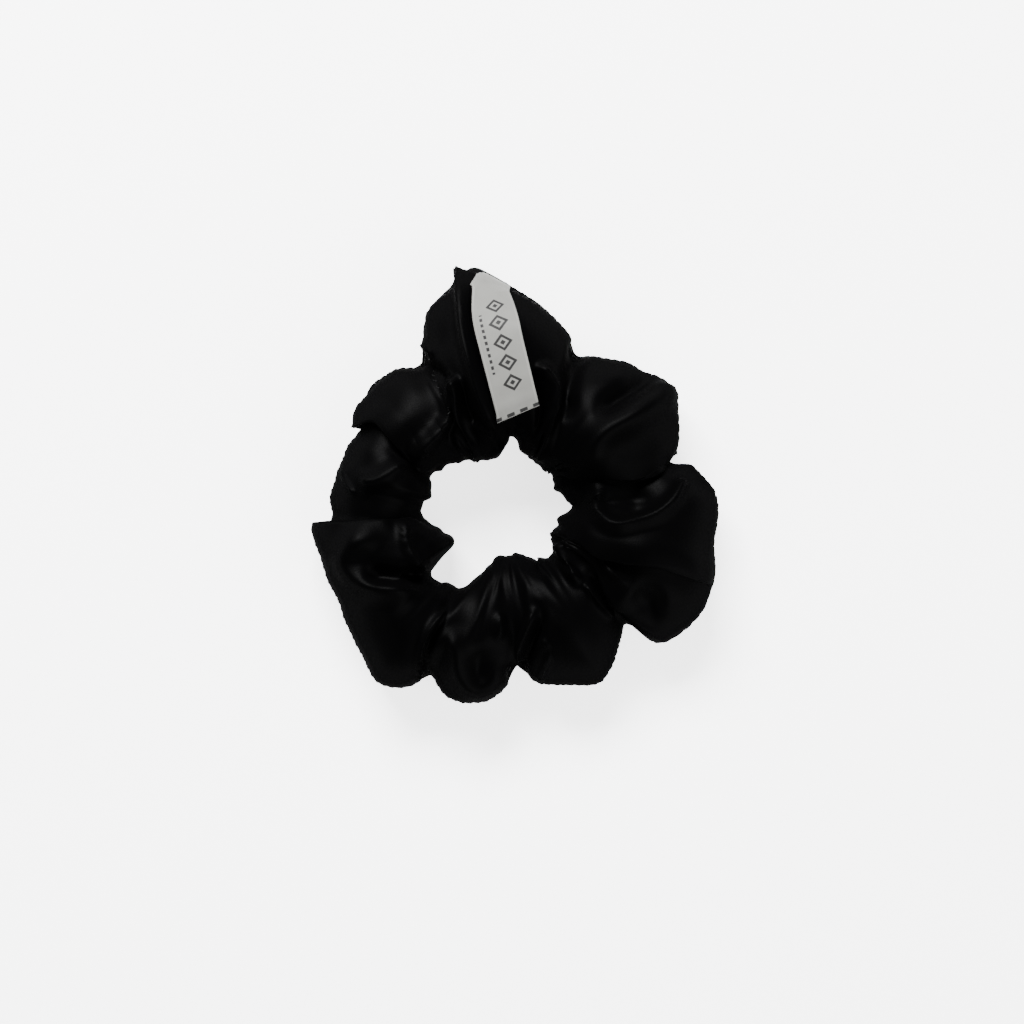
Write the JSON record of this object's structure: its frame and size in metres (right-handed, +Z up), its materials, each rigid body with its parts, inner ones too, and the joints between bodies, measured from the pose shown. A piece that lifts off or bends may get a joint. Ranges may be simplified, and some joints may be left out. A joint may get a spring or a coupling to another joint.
{
  "type": "fabric scrunchie",
  "caption": "Ruffled satin hair tie: a gathered fabric tube over a stretchy elastic loop, with a small folded woven label lying over one puff.",
  "frame": {"origin": "centre of the hair opening, on the surface that the scrunchie lies on", "axes": "+Z up out of the opening, +Y from the opening's centre towards the puff that carries the label, +X to the right seen from above"},
  "size_m": [0.0974, 0.1067, 0.0289],
  "materials": {
    "satin": "black polyester satin, soft sheen",
    "seam_thread": "black polyester sewing thread",
    "elastic": "braided elastic, undyed",
    "elastic_thread": "white polyester sewing thread",
    "label": "silver-grey damask-woven ribbon"
  },
  "bodies": {
    "near_half": {"cover_near": "satin", "long_seam_near": "seam_thread", "elastic_band": "elastic", "elastic_join": "elastic_thread"},
    "far_half": {"cover_far": "satin", "long_seam_far": "seam_thread", "closing_seam": "seam_thread", "label_ends": "label"},
    "label_flap": {"woven_label": "label"}
  },
  "joints": [
    {"name": "stretch", "type": "slide", "parent": "near_half", "child": "far_half", "axis": [0, 1, 0], "range_m": [0, 0.09], "stiffness_N_per_m": 60, "deforming": ["elastic_band", "elastic_join"]},
    {"name": "label_lift", "type": "hinge", "parent": "far_half", "child": "label_flap", "pos_m": [-0.00426, 0.05806, 0.01858], "axis": [-0.972, -0.2351, 0], "range_deg": [0, 115]}
  ]
}
